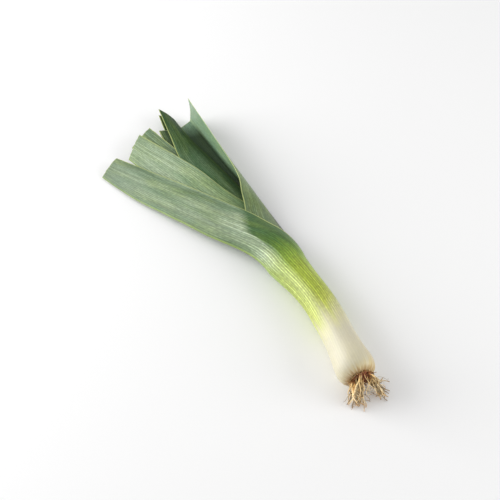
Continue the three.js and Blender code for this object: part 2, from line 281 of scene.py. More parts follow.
LEAVES["leaf_6"] = dict(side=-1, thickness=0.65, cut=(6, 0, 3), sections=[
    (-164.4, -4.9, 15.1, -22.6, 15.7, -22.6, 14.5, 2.3, 2.4, 1),
    (-175, -6, 14.8, -24, 15.5, -24, 13.8, 1.8, 1.6, 0.6),
    (-195, -10.5, 14, -28, 15.1, -28, 13.2, 1.4, 1.4, 0.2),
    (-240, -27, 13.4, -44, 14.2, -44, 12.7, 0.9, 0.8, 0),
    (-300, -34, 12.5, -56, 13.3, -56, 11.8, 0.8, 0.6, 0),
    (-357, -40, 11.5, -57, 12.3, -57, 10.8, 0.7, 0.6, 0),
])
print("sections:", {name: len(leaf["sections"]) for name, leaf in LEAVES.items()})

# %% [markdown]
# ## From sections to a surface
#
# Between two sections every number follows a smooth curve, so a few of them are enough. A point
# on a section is its share of the way from the midrib to a margin, raised off that straight line
# by the bulge. Finely sampled, the same sections give a surface with no facets.

# %% Read a section and a point on it
def read_sections(sections, x):
    """Every number of the sections at x, along a smooth curve."""
    last = len(sections) - 2
    i = 0
    while i < last and x < sections[i + 1][0]:
        i += 1

    def row(k):
        return sections[min(max(k, 0), len(sections) - 1)]

    step = row(i + 1)[0] - row(i)[0]
    t = (x - row(i)[0]) / step
    a = 2 * t ** 3 - 3 * t ** 2 + 1
    b = t ** 3 - 2 * t ** 2 + t
    c = t ** 3 - t ** 2
    numbers = []
    for column, (start, end) in enumerate(zip(row(i), row(i + 1))):
        leave = (row(i + 1)[column] - row(i - 1)[column]) / (row(i + 1)[0] - row(i - 1)[0])
        arrive = (row(i + 2)[column] - row(i)[column]) / (row(i + 2)[0] - row(i)[0])
        numbers.append(a * start + b * leave * step + (1 - a) * end + c * arrive * step)
    return numbers


def mix(a, b, t):
    """The value that is a share t of the way from a to b."""
    return a + (b - a) * t


def fold_point(sections, side, x, share):
    """The point at x that is a share of the way from the midrib (0) to the upper (1) or lower
    (-1) margin."""
    _, y, z, up_y, up_z, low_y, low_z, up_bulge, low_bulge, roundness = read_sections(sections, x)
    dy, dz = (up_y - y, up_z - z) if share > 0 else (low_y - y, low_z - z)
    bulge = up_bulge if share > 0 else -low_bulge
    s = abs(share)
    reach = mix(s, (1 - math.cos(math.pi * s)) / 2, roundness)
    rise = mix(4 * s * (1 - s), math.sin(math.pi * s), roundness)
    out = side * bulge * rise / math.hypot(dy, dz)
    return Vector((x, y + dy * reach - dz * out, z + dz * reach + dy * out))


print("halfway up leaf_1:", fold_point(LEAVES["leaf_1"]["sections"], 1, -200, 0.5))

# %% [markdown]
# ## From a surface to a leaf with two faces
#
# A blade is under a millimetre thick, thinner towards its margins and thicker along the midrib. A
# Solidify modifier would make it equally thick all over and push its faces through each other in a
# tight fold. So the inner face is laid under the outer one point by point, and held back where the
# two halves touch. The trimmed end strays a little, because a knife drags on the fibres.

# %% Sample the two faces
STEP = 2.0  # millimetres between rows
HALF_COLUMNS = 22
RAGGED = 0.7  # millimetres that the cut end strays
RAGGED_BENDS = 9  # of the cut over half a leaf
RAGGED_APART = 7.3  # in the noise, between the leaves of the two ranks
CUT_POWER = 4  # so high that only the last part of a leaf is shortened
WAVE_HEIGHT = 0.22  # millimetres of gentle unevenness, less than the gap between leaves
WAVE_LENGTH = 24  # millimetres along the leek
WAVE_WIDTH = 9
THIN_MARGIN = 0.45  # the thickness at the margin, as a share of the blade's
THINNING = 4.0  # millimetres from the margin where the blade begins to thin
KEEL_ROOM = 0.65  # the most that the midrib fills of the depth of its fold
FOLD_ROOM = 0.4  # the most that each half fills of the gap between them


def leaf_grid(leaf, stations):
    """Rows of points on the outer face, each from the lower margin to the upper margin."""
    sections, side, cut = leaf["sections"], leaf["side"], leaf["cut"]
    start = leaf.get("collar", sections[0][0])
    end = sections[-1][0]
    rows = []
    for station in stations:
        t = max(0.0, (station - start) / (end - start))
        row = []
        for j in range(-HALF_COLUMNS, HALF_COLUMNS + 1):
            share = j / HALF_COLUMNS
            shorter = mix(cut[0], cut[1] if j > 0 else cut[2], abs(share))
            shorter += RAGGED * noise.noise(Vector((share * RAGGED_BENDS, side * RAGGED_APART, end)))
            row.append(fold_point(sections, side, station + shorter * t ** CUT_POWER, share))
        rows.append(row)
    return rows


def blade_depth(row, j, thickness):
    """How deep the inner face lies under a point of the outer one."""
    last = len(row) - 1
    keel = last // 2
    away = abs(j - keel)
    if away == 0:
        depth = ((row[keel - 1] + row[keel + 1]) / 2 - row[keel]).length
        half_gap = (row[keel - 1] - row[keel + 1]).length / 2
        most = max(thickness, KEEL_ROOM * depth)
        return min(thickness * math.hypot(depth, half_gap) / half_gap, most)
    to_margin = (row[j] - row[0 if j < keel else last]).length
    deep = thickness * mix(THIN_MARGIN, 1.0, min(1.0, to_margin / THINNING))
    if away <= keel // 2:
        deep = min(deep, FOLD_ROOM * (row[j] - row[last - j]).length)
    return deep


def leaf_faces(rows, thickness, side):
    """The points of the outer and the inner face, each a flat list."""
    n, m = len(rows), len(rows[0])
    outer, inner = [], []
    for i in range(n):
        for j in range(m):
            point = rows[i][j]
            along = rows[min(i + 1, n - 1)][j] - rows[max(i - 1, 0)][j]
            across = rows[i][min(j + 1, m - 1)] - rows[i][max(j - 1, 0)]
            inwards = along.cross(across).normalized() * side
            here = (point.x / WAVE_LENGTH, point.y / WAVE_WIDTH, point.z / WAVE_WIDTH + side)
            wave = WAVE_HEIGHT * noise.noise(Vector(here))
            outer.append(point - inwards * wave)
            inner.append(point + inwards * (blade_depth(rows[i], j, thickness) - wave))
            for face in (outer, inner):
                face[-1].z = max(face[-1].z, 0.0)
    return outer, inner


print("a leaf has", 2 * HALF_COLUMNS + 1, "columns, and a row every", STEP, "mm")

# %% [markdown]
# ## From two faces to a closed mesh
#
# Two loose faces would show a gap at the margin, so strips of quads join them there and over both
# ends. Where the leaf is still a sheath it has no margins, and its last column is its first one.

# %% Join the faces
def leaf_quads(stations, columns, side, closed_until):
    """The quads of a leaf. Rows at an x above closed_until are closed all the way round."""
    rows = len(stations)
    last = columns - 1
    faces = []

    def index(i, j, face):
        if stations[i] > closed_until and j == last:
            j = 0
        return (face * rows + i) * columns + j

    def quad(*corners):
        loop = [index(*c) for c in (corners if side > 0 else reversed(corners))]
        unique = list(dict.fromkeys(loop))
        if len(unique) > 2:
            faces.append(unique)

    for i in range(rows - 1):
        for j in range(last):
            quad((i, j, 0), (i + 1, j, 0), (i + 1, j + 1, 0), (i, j + 1, 0))
            quad((i, j, 1), (i, j + 1, 1), (i + 1, j + 1, 1), (i + 1, j, 1))
        if stations[i + 1] <= closed_until:
            quad((i, 0, 0), (i, 0, 1), (i + 1, 0, 1), (i + 1, 0, 0))
            quad((i, last, 0), (i + 1, last, 0), (i + 1, last, 1), (i, last, 1))
    for j in range(last):
        quad((0, j, 0), (0, j + 1, 0), (0, j + 1, 1), (0, j, 1))
        quad((rows - 1, j, 0), (rows - 1, j, 1), (rows - 1, j + 1, 1), (rows - 1, j + 1, 0))
    return faces


print("a leaf of one cell is a box of", len(leaf_quads([0, 1], 2, 1, math.inf)), "faces")

# %% [markdown]
# ## A mesh that knows where it is
#
# Veins, bloom and rims follow the leaf, so each vertex remembers its place on it: millimetres from
# the roots, the midrib, the margin and the cut, and which face it is on. A UV map would hold two
# of these five, so each is an attribute of its own. The distance from the midrib is counted in the
# leaf's usual width, because veins draw together where the leaf is narrow.

# %% Measure a leaf and add it
FACTS = ("along", "across", "edge", "cut", "inside")
NO_MARGIN = 40.0  # the distance to the margin where there is none
SHARP_CORNER = math.radians(70)


def leaf_facts(outer, inner, stations, columns, closed_until):
    """The five facts of every vertex."""
    keel = (columns - 1) // 2
    rows = len(stations)

    def gaps(points, i):
        row = points[i * columns:(i + 1) * columns]
        return [(after - before).length for before, after in zip(row, row[1:])]

    girths = []  # from the midrib to each margin, for every row
    for i in range(rows):
        widths = gaps(outer, i)
        girths.append((sum(widths[:keel]), sum(widths[keel:])))
    usual = sum(sum(g) for g in girths) / (2 * rows)
    found = []
    for face, points in enumerate((outer, inner)):
        for i, station in enumerate(stations):
            widths = gaps(points, i)
            for j, point in enumerate(points[i * columns:(i + 1) * columns]):
                from_rib = sum(widths[min(j, keel):max(j, keel)]) / girths[i][j >= keel]
                to_edge = sum(widths[j:]) if j >= keel else sum(widths[:j])
                found.append((
                    SHANK[0][0] - point.x,
                    math.copysign(usual * min(1.0, from_rib), j - keel),
                    to_edge if station < closed_until else NO_MARGIN,
                    (points[(rows - 1) * columns + j] - point).length,
                    float(face),
                ))
    return dict(zip(FACTS, zip(*found)))


def add_piece(name, points, faces, facts, material):
    """A mesh object in metres, smooth but for its sharp corners, with a number for each vertex
    under every name in facts."""
    mesh = bpy.data.meshes.new(name)
    mesh.from_pydata([p * MM for p in points], [], faces)
    for label, values in facts.items():
        mesh.attributes.new(label, "FLOAT", "POINT").data.foreach_set("value", values)
    mesh.shade_smooth()
    mesh.set_sharp_from_angle(angle=SHARP_CORNER)
    mesh.materials.append(material)
    piece = bpy.data.objects.new(name, mesh)
    bpy.context.scene.collection.objects.link(piece)
    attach(piece, "root")
    print(name, len(mesh.vertices), "vertices", len(mesh.polygons), "faces")
    return piece


def add_leaf(name, leaf, stations, material, closed_until=math.inf):
    """A leaf as one closed mesh, with a row of vertices at each station."""
    rows = leaf_grid(leaf, stations)
    columns = len(rows[0])
    outer, inner = leaf_faces(rows, leaf["thickness"], leaf["side"])
    faces = leaf_quads(stations, columns, leaf["side"], closed_until)
    facts = leaf_facts(outer, inner, stations, columns, closed_until)
    return add_piece(name, outer + inner, faces, facts, material)


# %% [markdown]
# ## The skin of a leek
#
# A leek's skin is a waxy cuticle over living tissue. Underground it has no green, so the shank is
# ivory, and the green comes in along the veins over a few centimetres. Above the throat a powdery
# bloom of wax scatters the light, which turns the green greyish.
#
# Painted pictures would need unwrapping six folded blades. One recipe serves them all instead: a
# colour for each distance from the roots, then patterns that grew with the leaf. Noise in plain
# space would run across the veins, so it is laid along and across the leaf. The main veins stand
# about two millimetres apart, and the ones between are too fine to show.

# %% The patterns of the skin
VEIN_SPACING = 2.1
VEIN_WANDER = 5.0  # radians by which the veins drift with the broad pattern
VEIN_CREST = (0.1, 0.95)  # the part of each sine wave that rises to a line
# The length and width of each pattern's patches in millimetres, and the detail of its noise.
PATTERNS = {
    "streaks": (50.0, 2.4, 2.0),
    "broad": (200.0, 8.0, 3.0),
    "flecks": (3.6, 1.4, 3.0),
    "patches": (42.0, 12.0, 4.0),
    "clouds": (60.0, 16.0, 3.0),
}
# A ramp is what it follows, the start and end of its range there, and its value at each of them.
VEINS_COME_AND_GO = [("streaks", 0.36, 0.6, 0.25, 1)]
LONGEST = 420.0  # the span of the colour bands


def bands(stops):
    """Colour stops given in millimetres from the roots, as shares of the longest leaf."""
    return [(mm / LONGEST, colour) for mm, colour in stops]


def vary(add, on, amount, ramps, operation="MULTIPLY"):
    """The amount times the value of every ramp, or plus it, or less it."""
    for by, *ramp in ramps:
        change = add("MapRange", [on[by], *ramp])
        amount = add("Math", [amount, change], operation=operation)
    return amount


def read_the_leaf(add):
    """The facts of the mesh and the patterns that follow them, by name."""
    on = {key: add("Attribute", attribute_name=key).outputs["Fac"] for key in FACTS}
    for key, (length, width, detail) in PATTERNS.items():
        lie = add("CombineXYZ", [
            add("Math", [on["along"], length], operation="DIVIDE"),
            add("Math", [on["across"], width], operation="DIVIDE"),
            on["inside"],
        ])
        on[key] = add("TexNoise", {"Vector": lie, "Scale": 1, "Detail": detail, "Roughness": 0.6})
    wander = add("Math", [on["broad"], VEIN_WANDER], operation="MULTIPLY")
    turns = 2 * math.pi / VEIN_SPACING
    phase = add("Math", [on["across"], turns, wander], operation="MULTIPLY_ADD")
    wave = add("Math", [phase], operation="SINE")
    veins = add("MapRange", [wave, *VEIN_CREST, 0, 1])
    on["veins"] = vary(add, on, veins, VEINS_COME_AND_GO)
    return on


print("patterns:", ", ".join(PATTERNS))

# %% [markdown]
# ## The green under the wax
#
# Chlorophyll forms where light gets in, so the colour changes along the leaf and hardly across it.
# A ramp over the distance from the roots gives that. Its bands are pushed to and fro with the
# veins and reach lower next to the midrib. Some patches are yellower and some bluer, because no
# leaf is one even green.

# %% The green
BAND_SHIFTS = [  # in millimetres
    ("broad", 0.25, 0.75, -14, 14),
    ("streaks", 0.25, 0.75, -5, 5),
    ("across", 8, 26, 9, 0),
]
PATCHES_ON_BLADE = [("along", 150, 210, 0, 1)]
# For each kind of patch: where its noise starts and ends, its strength and its tint.
PATCH_TINTS = [(0.48, 0.74, 0.38, "#96AC4A"), (0.5, 0.3, 0.35, "#4E7C5E")]


def living_green(add, on, outer, inner, flecked):
    """The colour of the skin without its bloom, and each point's place in the bands."""
    place = vary(add, on, on["along"], BAND_SHIFTS, "ADD")
    share = add("Math", [place, LONGEST], operation="DIVIDE")
    outside = add("ValToRGB", [share], stops=bands(outer))
    inside = add("ValToRGB", [share], stops=bands(inner))
    colour = add("Mix", [on["inside"], outside, inside], data_type="RGBA")
    for start, end, most, tint in PATCH_TINTS:
        tinted = add("MapRange", [on["patches"], start, end, 0, most * flecked])
        tinted = vary(add, on, tinted, PATCHES_ON_BLADE)
        colour = add("Mix", [tinted, colour, linear(tint)], data_type="RGBA")
    return colour, share


print("the green shifts by up to", sum(max(shift[3:]) for shift in BAND_SHIFTS), "mm")

# %% [markdown]
# ## The bloom, and a painted highlight on the shank
#
# The bloom is a dust of wax crystals that grows where the blade stands in the air. Where another
# leaf lay on it, it never grew or was wiped off, so it starts at a clear edge that runs aslant
# over the collar. It could be a second, rough layer, but it is so thin that its colour is only
# mixed into the green. The same mix paints a highlight, pale and in fine lines, along the lit
# side of the shank.

# %% The bloom and the painted highlight
# Up to 140 mm these colours are for the painted highlight on the shank, paler where it is
# white and yellower where it is green. Further up they are the colour of the bloom.
WAX_AND_HIGHLIGHT = [(0, "#E6E0D2"), (64, "#E6E3C4"), (76, "#D2DA92"), (95, "#DEE896"), (140, "#DCE99A"),
       (175, "#D2DFC0")]
CLOUDY = (0.35, 0.65)  # the noise where the wax is thinnest and thickest
STEP_ACROSS = (15, 20)  # where the first wide vein holds the bloom back
SLANT_ACROSS = (20, 50)
EDGE_FRAY = [("streaks", 0.3, 0.7, -2.5, 2.5)]
# "past" is how far a point lies past the edge of the bloom.
ON_THE_BLADE = [
    # Next to the edge the bloom is partly a painted highlight.
    ("past", 8, 50, 1.4, 0.85),  # thickest next to the edge
    ("past", 145, 180, 1, 0.72),  # thinner near the tip
    ("across", -6, 13, 0.3, 1),  # thin at the midrib
    ("across", 27, 38, 1.15, 0.8),  # and thinner near the margin
]
# On the shank the wax colour is a painted highlight on the lit side, next to the midrib. The next
# two give where it ends across the shank and how strong it is along it.
HIGHLIGHT_SIDE_ENDS = (13, 20)  # the shank has wax on one side only, and this is where that ends
HIGHLIGHT_ON_SHANK = [
    ("across", -6, 12, 0.5, 1.15),
    ("along", 3, 12, 0, 1),  # gone where the roots begin
    ("along", 60, 150, 0.9, 1.4),
    ("along", 160, 185, 1, 0),
]
# It is thickest on the veins and thinner in some streaks, so on the shank the painted highlight
# runs in fine lines.
IN_LINES = [("streaks", 0.35, 0.65, 0.86, 1.06), ("veins", 0, 1, 0.92, 1.12)]


def bloom_and_painted_highlight(add, on, wax, edge, lit_side_highlight):
    """How much wax colour each point gets: the bloom, and on the shank a painted highlight. wax
    is the least and the most bloom. edge is where the bloom starts, how much later it does past the
    first wide vein and out to the margin, and how soft its start is. lit_side_highlight is the
    strength of the painted highlight on the lit side of the shank, next to the midrib."""
    start, step, slant, fade = edge
    amount = add("MapRange", [on["clouds"], *CLOUDY, *wax])
    later = add("MapRange", [on["across"], *STEP_ACROSS, start, start + step])
    past = add("Math", [on["along"], later], operation="SUBTRACT")
    past = vary(add, on, past, [("across", *SLANT_ACROSS, 0, slant)], "SUBTRACT")
    past = vary(add, on, past, EDGE_FRAY, "ADD")
    amount = vary(add, dict(on, past=past), amount, [("past", 0, fade, 0, 1), *ON_THE_BLADE])
    # A painted highlight: pale wax colour on the lit side of the shank.
    side = add("MapRange", [on["across"], *HIGHLIGHT_SIDE_ENDS, lit_side_highlight, 0])
    side = vary(add, on, side, HIGHLIGHT_ON_SHANK)
    amount = add("Math", [amount, side], operation="MAXIMUM")
    return vary(add, on, amount, IN_LINES)


print("colours of wax:", len(WAX_AND_HIGHLIGHT))

# %% [markdown]
# ## Lines and pale rims
#
# Fibres and veins shade the skin in lines of every width, and the midrib, the margins and the dried
# cut are paler than the blade. They could be strips of geometry, but they are flush with the skin,
# so each is a tint by one pattern or one distance.

# %% Lines and pale rims
# Each pattern's range, its contrast, and how much of that is left on the blade.
LINES = {
    "broad": (0.3, 0.7, 0.14, 0.6),
    "streaks": (0.3, 0.7, 0.14, 0.7),
    "flecks": (0.3, 0.7, 0.3, 0.9),
    "veins": (0.0, 1.0, 0.3, 0.5),
}
BLADE_BEGINS = (150, 200)
FAINT_ON_WHITE = ("along", 55, 90, 0.1, 1)
# Each pale line's width in millimetres, its colour and its strength.
RIB = (2.6, "#9DB35A", 0.75)
MARGIN = (1.0, "#C6D084", 0.95)
CUT = (0.8, "#C2C596", 0.8)
FULL_UP_TO = 0.4  # the share of its width that has the full strength
RIB_HIDDEN = 9.0  # millimetres added on the inner face, where the midrib doesn't show
MARGIN_WIDENS = [("along", 150, 220, -1.2, 0), ("along", 138, 162, -3, 0)]  # near the throat
# Pale lines are brightest near the throat, and the streaks break them up.
PALE_LINES_SHOW = [
    ("along", 200, 280, 1, 0.82),
    ("streaks", 0.3, 0.6, 0.5, 1),
    ("along", 105, 150, 0, 1),
]


def line_shades(add, on, colour):
    """Lighter and darker lines, faint on the white of the shank."""
    for key, (start, end, contrast, on_blade) in LINES.items():
        fade = vary(add, on, 1.0, [("along", *BLADE_BEGINS, 1, on_blade), FAINT_ON_WHITE])
        shade = add("MapRange", [on[key], start, end, 1 - contrast, 1 + contrast])
        colour = add("Mix", [fade, colour, shade], data_type="RGBA", blend_type="MULTIPLY")
    return colour


def pale_lines(add, on, colour):
    """The midrib on the outer face, the margins and the dried cut."""
    off_rib = add("Math", [on["across"]], operation="ABSOLUTE")
    off_rib = add("Math", [on["inside"], RIB_HIDDEN, off_rib], operation="MULTIPLY_ADD")
    margin = vary(add, on, on["edge"], MARGIN_WIDENS, "ADD")
    show = vary(add, on, 1.0, PALE_LINES_SHOW)
    for distance, (width, pale, strength) in ((off_rib, RIB), (margin, MARGIN), (on["cut"], CUT)):
        near = add("MapRange", [distance, FULL_UP_TO * width, width, strength, 0])
        near = add("Math", [near, show], operation="MULTIPLY")
        colour = add("Mix", [near, colour, linear(pale)], data_type="RGBA")
    return colour


print("lines:", ", ".join(LINES))

# %% [markdown]
# ## Painted fold shade and stains
#
# A fold is painted dark, as shade, because hardly any light gets down into it. The root end
# is stained tan by soil. A painted mask would need unwrapping, so both are tints by the distance
# across or along the leaf.

# %% Painted fold shade and stains
# Painted shade in a fold darkens it towards this colour.
FOLD_SHADE_COLOUR = "#1F3018"
FOLD_FADE = 22.0  # millimetres over which a dark fold ends
FOLD_FRAY = [("streaks", 0.3, 0.7, -1, 1)]
# Each soil stain's height in millimetres, its strength and its colour.
STAINS = [(7.0, 0.5, "#CCB078"), (2.5, 0.7, "#A27A4A")]
STAIN_FRAY = [("streaks", 0.35, 0.65, -1.5, 1.5)]
DRY_SKIN = "#B99A5E"
DRY_SKIN_ON = [("across", 30, 44, 0, 0.55), ("height", 12, 42, 1, 0)]  # the right of the bulb


def painted_fold_shade(add, on, colour, fold_shade):
    """Painted shade in a fold, with an edge that the streaks fray."""
    deep, open_at, most, until = fold_shade
    frayed = vary(add, on, on["across"], FOLD_FRAY, "ADD")
    fold_shade_amount = add("MapRange", [frayed, deep, open_at, most, 0])
    fold_shade_amount = vary(add, on, fold_shade_amount, [("along", until - FOLD_FADE, until, 1, 0)])
    return add("Mix", [fold_shade_amount, colour, linear(FOLD_SHADE_COLOUR)], data_type="RGBA")


def soil_stains(add, on, colour):
    """Tan at the root end, and on the dry skin at the right of the bulb."""
    height = vary(add, on, on["along"], STAIN_FRAY, "ADD")
    for reach, most, tint in STAINS:
        stain = add("MapRange", [height, 0, reach, most, 0])
        colour = add("Mix", [stain, colour, linear(tint)], data_type="RGBA")
    dry = vary(add, dict(on, height=height), 1.0, DRY_SKIN_ON)
    return add("Mix", [dry, colour, linear(DRY_SKIN)], data_type="RGBA")


print("soil reaches up", STAINS[0][0], "mm")

# %% [markdown]
# ## The whole skin
#
# Wax has an IOR near 1.45, and the tissue under it is soft, so a little light goes in and comes
# out again. A clean cuticle is fairly glossy, and bloom or drying dulls it. The veins could be
# modelled, but they stand out by half a millimetre at most, and a bump shows that well enough.

# %% The whole skin
WAX_IOR = 1.45
WAX_DULLS = 0.4  # roughness added where the bloom is full
STREAKY = (0.3, 0.7)
SMOOTHER, ROUGHER = -0.04, 0.06  # the roughness from streak to streak
DRY_DULLS = [("along", 60, 90, 0.08, 0)]
VEIN_SHARE = 0.35  # of the relief. The streaks make the rest.
FLAT_ON_SHANK = [("along", 0, 90, 0.25, 1)]
RIDGE = 0.5  # millimetres
LIGHT_REACH = 3.0  # millimetres that light travels in the tissue
LIGHT_COLOUR = (1.0, 0.9, 0.4)  # the share of that for red, green and blue


def leek_skin(name, outer, inner, wax, edge=(150, 0, 0, 60), lit_side_highlight=0.0, fold_shade=None,
              flecked=1.0, gloss=0.4, sheen=0.4, glow=0.05):
    """Fresh leek skin. outer and inner give the colours of the two faces by distance from the
    roots. fold_shade is the range across the leaf where painted shade darkens it towards the fold,
    how much, and where along the leaf that ends. flecked is how patchy the green is, gloss the
    roughness, sheen the strength of the reflection and glow the light that passes through."""
    material, add = new_material(name)
    on = read_the_leaf(add)
    colour, share = living_green(add, on, outer, inner, flecked)
    # The wax colour carries the bloom, and on the shank a painted highlight.
    bloom_and_highlight = bloom_and_painted_highlight(add, on, wax, edge, lit_side_highlight)
    wax_and_highlight_colour = add("ValToRGB", [share], stops=bands(WAX_AND_HIGHLIGHT))
    colour = add("Mix", [bloom_and_highlight, colour, wax_and_highlight_colour], data_type="RGBA")
    colour = line_shades(add, on, colour)
    colour = pale_lines(add, on, colour)
    # Painted shade in the fold.
    if fold_shade:
        colour = painted_fold_shade(add, on, colour, fold_shade)
    colour = soil_stains(add, on, colour)

    rough = add("MapRange", [on["streaks"], *STREAKY, gloss + SMOOTHER, gloss + ROUGHER])
    rough = add("Math", [bloom_and_highlight, WAX_DULLS, rough], operation="MULTIPLY_ADD")
    rough = vary(add, on, rough, DRY_DULLS, "ADD")
    relief = add("Math", [on["veins"], VEIN_SHARE, on["streaks"]], operation="MULTIPLY_ADD")
    relief = vary(add, on, relief, FLAT_ON_SHANK)
    ridges = add("Bump", {"Height": relief, "Strength": 0.5, "Distance": RIDGE * MM})
    skin = add("BsdfPrincipled", {
        "Base Color": colour, "Roughness": rough, "Normal": ridges, "IOR": WAX_IOR,
        "Specular IOR Level": sheen, "Subsurface Weight": glow,
        "Subsurface Radius": LIGHT_COLOUR, "Subsurface Scale": LIGHT_REACH * MM,
    })
    add("OutputMaterial", {"Surface": skin})
    print(name, len(material.node_tree.nodes), "nodes")
    return material


# %% [markdown]
# ## The shank and its outermost leaf
#
# On a real leek the outer sheath runs without a seam from the root plate to its own leaf. Two
# pieces would need their edges hidden at the throat, so one piece stands for both solids. Its
# sections are the shank's, closed all the way round, and then those of the first leaf, which open
# opposite the midrib.

# %% The outer sheath and its leaf
THROAT = -131.0  # where the sheath opens, x in millimetres
ROUNDED = 8.0  # the bulb's end turns in beyond this x and has finer rows
FINE_STEP = 0.5

closed = [(x, y - w, z, y + w, z, y + w, z, h, h, 1) for x, y, z, w, h in SHANK]
first = LEAVES["leaf_1"]
outer_leaf = dict(first, sections=closed + first["sections"][1:], collar=first["sections"][0][0])


def rows_between(start, end, step):
    """Stations about a step apart, from start to end."""
    count = max(2, round(abs(end - start) / step))
    return [mix(start, end, i / count) for i in range(count + 1)]


stations = rows_between(SHANK[0][0], ROUNDED, FINE_STEP)[:-1]
stations += rows_between(ROUNDED, outer_leaf["sections"][-1][0], STEP)

# The pale wax on the shank's lit side is a painted highlight.
sheath_skin = leek_skin(
    "fresh_sheath",
    outer=[(0, "#D4C89C"), (9, "#D3CBAE"), (48, "#CFC9B0"), (64, "#D6D2A2"), (75, "#D0D28A"),
           (85, "#C4CC5E"), (98, "#B4C24C"), (128, "#ACC046"), (142, "#96B442"),
           (155, "#769838"), (168, "#547834"), (186, "#4E6E3A"), (215, "#4C6A40"),
           (290, "#547248"), (350, "#466446")],
    inner=[(0, "#CDC9A8"), (120, "#9BB054"), (180, "#5C7A40"), (360, "#48643F")],
    # The bloom's slanted edge on the outermost leaf is partly real wax and partly a painted
    # reflection.
    wax=(0.16, 0.44), edge=(147, 40, 37, 10), lit_side_highlight=0.46, gloss=0.32, sheen=0.45, glow=0.1,
)
outer_sheath = add_leaf("outer_sheath", outer_leaf, stations, sheath_skin, THROAT)
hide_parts("shank", "leaf_1")

# %% [markdown]
# ## The inner leaves
#
# Five more blades show above the throat, each younger than the one around it. They could share one
# finish, but they lie differently: the two left ones show their waxy outer faces, the tall right
# one its smooth inner face, and the two in the middle are dark because little light reached them.

# %% The inner leaves
# leaf_2 and leaf_4 get painted shade in their folds.
FINISHES = {
    "leaf_2": dict(
        outer=[(130, "#74894A"), (190, "#566B3C"), (240, "#62784A"), (300, "#768A60"),
               (390, "#6C8C68")],
        inner=[(150, "#3E5836"), (255, "#62825A"), (310, "#8CAE88"), (350, "#88AA88"),
               (390, "#88A48A")],
        wax=(0.03, 0.17), fold_shade=(1, 8, 0.9, 382), gloss=0.38, sheen=0.35),
    "leaf_3": dict(
        outer=[(140, "#70883F"), (210, "#627E42"), (260, "#66824E"), (310, "#6C885C"),
               (370, "#6A8662")],
        inner=[(140, "#8AA050"), (370, "#4C6A46")],
        wax=(0.2, 0.52), edge=(205, 0, 0, 100)),
    "leaf_4": dict(
        outer=[(150, "#5E7A38"), (230, "#5C7848"), (265, "#547048"), (310, "#486842"),
               (350, "#385829"), (405, "#2C4C20")],
        inner=[(150, "#5E7A38"), (300, "#2E4A26"), (405, "#2C4A22")],
        wax=(0.0, 0.16), fold_shade=(1, 12, 0.75, 374), flecked=0.6, gloss=0.45, sheen=0.12,
        glow=0.02),
    "leaf_5": dict(
        outer=[(160, "#70883F"), (260, "#587444"), (340, "#4C6840"), (380, "#66825E")],
        inner=[(160, "#8AA050"), (380, "#4C6A46")],
        wax=(0.1, 0.32), gloss=0.42),
    "leaf_6": dict(
        outer=[(160, "#4C6A30"), (260, "#304A2A"), (380, "#3C5234")],
        inner=[(160, "#4C6A30"), (380, "#3C5438")],
        wax=(0.0, 0.06), flecked=0.5, sheen=0.3, glow=0.03),
}
for name, finish in FINISHES.items():
    leaf = LEAVES[name]
    skin = leek_skin("fresh_" + name, **finish)
    stations = rows_between(leaf["sections"][0][0], leaf["sections"][-1][0], STEP)
    blade = add_leaf("blade_" + name[-1], leaf, stations, skin)
    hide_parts(name)

# %% [markdown]
# ## Root bark and tubes
#
# The roots are dry. Their bark is tan with darker specks and a faint gleam, and darkest at the
# plate. The specks don't follow the root, so noise in plain space will do. Each vertex remembers
# how far along its root it is, and how light that root is, by its own tone and by painted light on
# the upper roots. A curve object with a round bevel would be less work, but a small function that
# sweeps a ring along a path can set both numbers.

# %% Root bark and tubes
# A pixel covers a millimetre, so the specks are drawn further apart than that, to show.
SPECKS_PER_MM = 0.7
SPECK_RANGE = (0.35, 0.7)  # the noise at the lightest and the darkest
BARK_RELIEF = 0.3  # millimetres


def root_material(name, stops, roughness, contrast):
    """Dry root bark: the colour changes from the plate to the tip, with darker specks."""
    material, add = new_material(name)
    along = add("Attribute", attribute_name="along").outputs["Fac"]
    tint = add("Attribute", attribute_name="tint").outputs["Fac"]
    place = add("TexCoord").outputs["Object"]
    base = add("ValToRGB", [along], stops=stops)
    speck = add("TexNoise", {"Vector": place, "Scale": SPECKS_PER_MM / MM, "Detail": 2.0})
    worn = add("MapRange", [speck, *SPECK_RANGE, 1 + contrast / 2, 1 - contrast])
    worn = add("Math", [worn, tint], operation="MULTIPLY")
    colour = add("Mix", [1.0, base, worn], data_type="RGBA", blend_type="MULTIPLY")
    bump = add("Bump", {"Height": speck, "Strength": 0.5, "Distance": BARK_RELIEF * MM})
    bark = add("BsdfPrincipled", {"Base Color": colour, "Roughness": roughness, "Normal": bump})
    add("OutputMaterial", {"Surface": bark})
    print(name, len(material.node_tree.nodes), "nodes")
    return material


def join_rings(faces, first, rings, sides):
    """Adds the quads between rings of points, counted from the point first, and both ends."""
    for ring in range(rings - 1):
        for side in range(sides):
            a = first + ring * sides + side
            b = first + ring * sides + (side + 1) % sides
            faces.append((a, b, b + sides, a + sides))
    faces.append([first + side for side in reversed(range(sides))])
    faces.append([first + (rings - 1) * sides + side for side in range(sides)])


